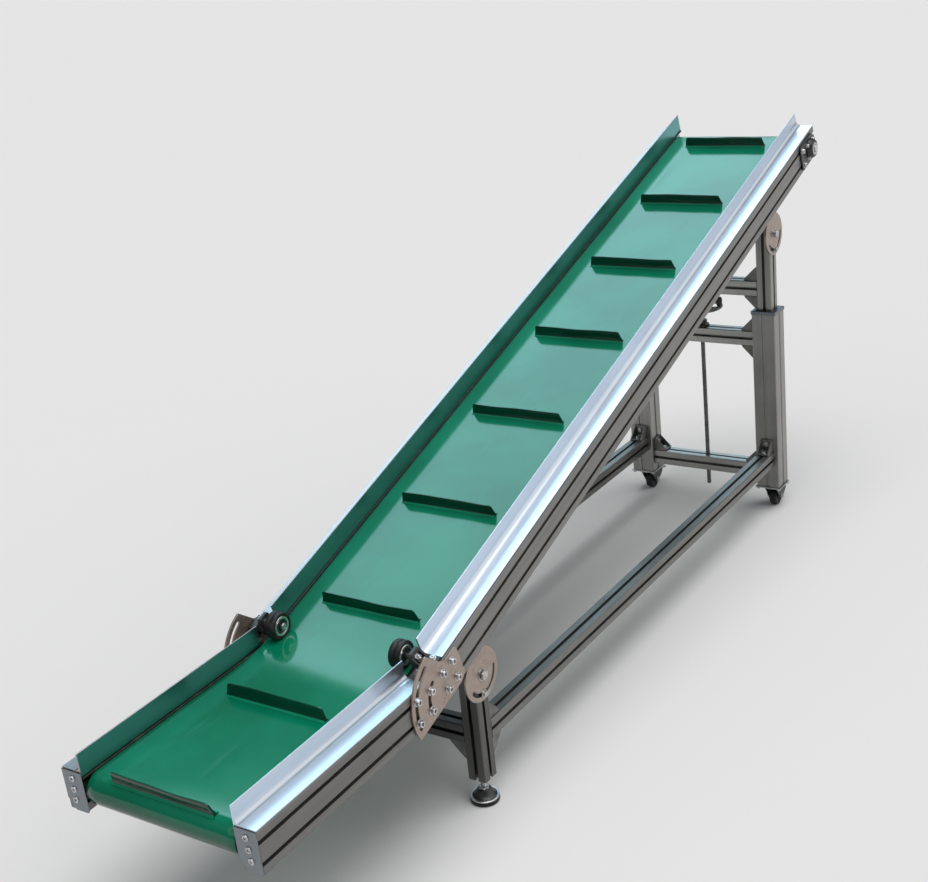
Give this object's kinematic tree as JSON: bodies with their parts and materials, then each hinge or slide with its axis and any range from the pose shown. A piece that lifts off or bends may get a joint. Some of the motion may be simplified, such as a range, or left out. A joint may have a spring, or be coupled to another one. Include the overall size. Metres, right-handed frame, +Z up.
{
  "type": "belt conveyor section",
  "caption": "Mobile cleated belt conveyor: level infeed, knuckle and incline with side guards on an adjustable slotted-profile stand.",
  "frame": {"origin": "centre of the footprint of the overall box, on the floor", "axes": "+Y is the feed direction from the low tail to the high head, +X is to the right seen along the feed, +Z is up"},
  "size_m": [0.473, 2.4504, 1.0251],
  "materials": {
    "anodised_profile": "satin anodised",
    "bright_aluminium": "satin",
    "belt_green": "smooth gloss",
    "zinc_plate": "zinc plated",
    "bed_steel": "satin",
    "turned_steel": "turned",
    "dark_metal": "satin paint",
    "black_rubber": "matte",
    "black_plastic": "fine grain"
  },
  "bodies": {
    "stand": {"front_leg_left": "anodised_profile", "front_leg_right": "anodised_profile", "front_crossbar": "anodised_profile", "bottom_rail_left": "anodised_profile", "bottom_rail_right": "anodised_profile", "rear_outer_leg_left": "anodised_profile", "rear_outer_leg_right": "anodised_profile", "leg_cap_left": "bright_aluminium", "leg_cap_right": "bright_aluminium", "lower_crossbar": "anodised_profile", "upper_crossbar": "anodised_profile", "screw_nut": "dark_metal", "caster_plate_left": "bed_steel", "caster_plate_right": "bed_steel"},
    "incline": {"bed_incline": "bed_steel", "tie_lower": "anodised_profile", "tie_upper": "anodised_profile", "belt_incline": "belt_green", "rail_incline_left": "anodised_profile", "rail_incline_right": "anodised_profile", "guard_incline_left": "bright_aluminium", "guard_incline_right": "bright_aluminium", "head_bearing_left": "dark_metal", "head_bearing_right": "dark_metal", "knee_plate_left": "zinc_plate", "knee_plate_right": "zinc_plate", "press_bracket_left": "dark_metal", "press_bracket_right": "dark_metal", "front_hinge_left": "zinc_plate", "front_hinge_right": "zinc_plate"},
    "head_drum": {"head_drum": "turned_steel"},
    "bend_roller": {"bend_roller": "turned_steel"},
    "press_wheel_left": {"press_wheel_left": "black_rubber"},
    "press_wheel_right": {"press_wheel_right": "black_rubber"},
    "infeed": {"bed_infeed": "bed_steel", "tie_infeed": "anodised_profile", "belt_infeed": "belt_green", "rail_infeed_left": "anodised_profile", "rail_infeed_right": "anodised_profile", "guard_infeed_left": "bright_aluminium", "guard_infeed_right": "bright_aluminium", "end_plate_left": "bright_aluminium", "end_plate_right": "bright_aluminium"},
    "tail_roller": {"tail_roller": "turned_steel"},
    "lift": {"inner_leg_left": "anodised_profile", "inner_leg_right": "anodised_profile", "inner_crossbar": "anodised_profile"},
    "rear_hinges": {"rear_hinge_left": "zinc_plate", "rear_hinge_right": "zinc_plate"},
    "screw": {"lead_screw": "turned_steel", "handwheel": "black_plastic"},
    "caster_left": {"caster_fork_left": "dark_metal"},
    "caster_wheel_left": {"caster_wheel_left": "black_rubber"},
    "brake_pedal_left": {"brake_pedal_left": "dark_metal"},
    "levelling_foot_left": {"levelling_foot_left": "black_rubber"},
    "caster_right": {"caster_fork_right": "dark_metal"},
    "caster_wheel_right": {"caster_wheel_right": "black_rubber"},
    "brake_pedal_right": {"brake_pedal_right": "dark_metal"},
    "levelling_foot_right": {"levelling_foot_right": "black_rubber"}
  },
  "joints": [
    {"name": "bed_tilt", "type": "hinge", "parent": "stand", "child": "incline", "pos_m": [0, -0.57146, 0.28423], "axis": [1, 0, 0], "range_deg": [0, 3]},
    {"name": "knee_tilt", "type": "hinge", "parent": "incline", "child": "infeed", "pos_m": [0, -0.7011, 0.32306], "axis": [1, 0, 0], "range_deg": [-6, 6]},
    {"name": "lift_slide", "type": "slide", "parent": "stand", "child": "lift", "axis": [0, 0, 1], "range_m": [0, 0.0885]},
    {"name": "rear_hinge_turn", "type": "hinge", "parent": "lift", "child": "rear_hinges", "pos_m": [0, 0.93154, 0.76535], "axis": [1, 0, 0], "range_deg": [0, 3]},
    {"name": "screw_turn", "type": "hinge", "parent": "lift", "child": "screw", "pos_m": [0, 0.93154, 0.559], "axis": [0, 0, 1], "continuous": true},
    {"name": "head_drum_spin", "type": "hinge", "parent": "incline", "child": "head_drum", "pos_m": [0, 1.18166, 0.93634], "axis": [1, 0, 0], "continuous": true},
    {"name": "bend_roller_spin", "type": "hinge", "parent": "incline", "child": "bend_roller", "pos_m": [0, -0.68107, 0.32642], "axis": [1, 0, 0], "continuous": true},
    {"name": "tail_roller_spin", "type": "hinge", "parent": "infeed", "child": "tail_roller", "pos_m": [0, -1.17819, 0.31271], "axis": [1, 0, 0], "continuous": true},
    {"name": "press_wheel_left_spin", "type": "hinge", "parent": "incline", "child": "press_wheel_left", "pos_m": [-0.145, -0.7182, 0.38993], "axis": [1, 0, 0], "continuous": true},
    {"name": "press_wheel_right_spin", "type": "hinge", "parent": "incline", "child": "press_wheel_right", "pos_m": [0.145, -0.7182, 0.38993], "axis": [1, 0, 0], "continuous": true},
    {"name": "caster_swivel_left", "type": "hinge", "parent": "stand", "child": "caster_left", "pos_m": [-0.188, 0.93154, 0.06], "axis": [0, 0, 1], "continuous": true},
    {"name": "caster_wheel_left_spin", "type": "hinge", "parent": "caster_left", "child": "caster_wheel_left", "pos_m": [-0.188, 0.95154, 0.025], "axis": [1, 0, 0], "continuous": true},
    {"name": "brake_pedal_left_press", "type": "hinge", "parent": "caster_left", "child": "brake_pedal_left", "pos_m": [-0.188, 0.98204, 0.0455], "axis": [1, 0, 0], "range_deg": [-10, 0]},
    {"name": "levelling_foot_left_screw", "type": "slide", "parent": "stand", "child": "levelling_foot_left", "axis": [0, 0, 1], "range_m": [-0.012, 0.012]},
    {"name": "caster_swivel_right", "type": "hinge", "parent": "stand", "child": "caster_right", "pos_m": [0.188, 0.93154, 0.06], "axis": [0, 0, 1], "continuous": true},
    {"name": "caster_wheel_right_spin", "type": "hinge", "parent": "caster_right", "child": "caster_wheel_right", "pos_m": [0.188, 0.95154, 0.025], "axis": [1, 0, 0], "continuous": true},
    {"name": "brake_pedal_right_press", "type": "hinge", "parent": "caster_right", "child": "brake_pedal_right", "pos_m": [0.188, 0.98204, 0.0455], "axis": [1, 0, 0], "range_deg": [-10, 0]},
    {"name": "levelling_foot_right_screw", "type": "slide", "parent": "stand", "child": "levelling_foot_right", "axis": [0, 0, 1], "range_m": [-0.012, 0.012]}
  ],
  "couplings": [
    {"joint": "lift_slide", "follows": "bed_tilt", "m_per_rad": 1.6868},
    {"joint": "rear_hinge_turn", "follows": "bed_tilt", "ratio": 1},
    {"joint": "tail_roller_spin", "follows": "head_drum_spin", "ratio": 1},
    {"joint": "bend_roller_spin", "follows": "head_drum_spin", "ratio": 1.8387},
    {"joint": "press_wheel_left_spin", "follows": "head_drum_spin", "ratio": -1.1667},
    {"joint": "press_wheel_right_spin", "follows": "head_drum_spin", "ratio": -1.1667}
  ]
}
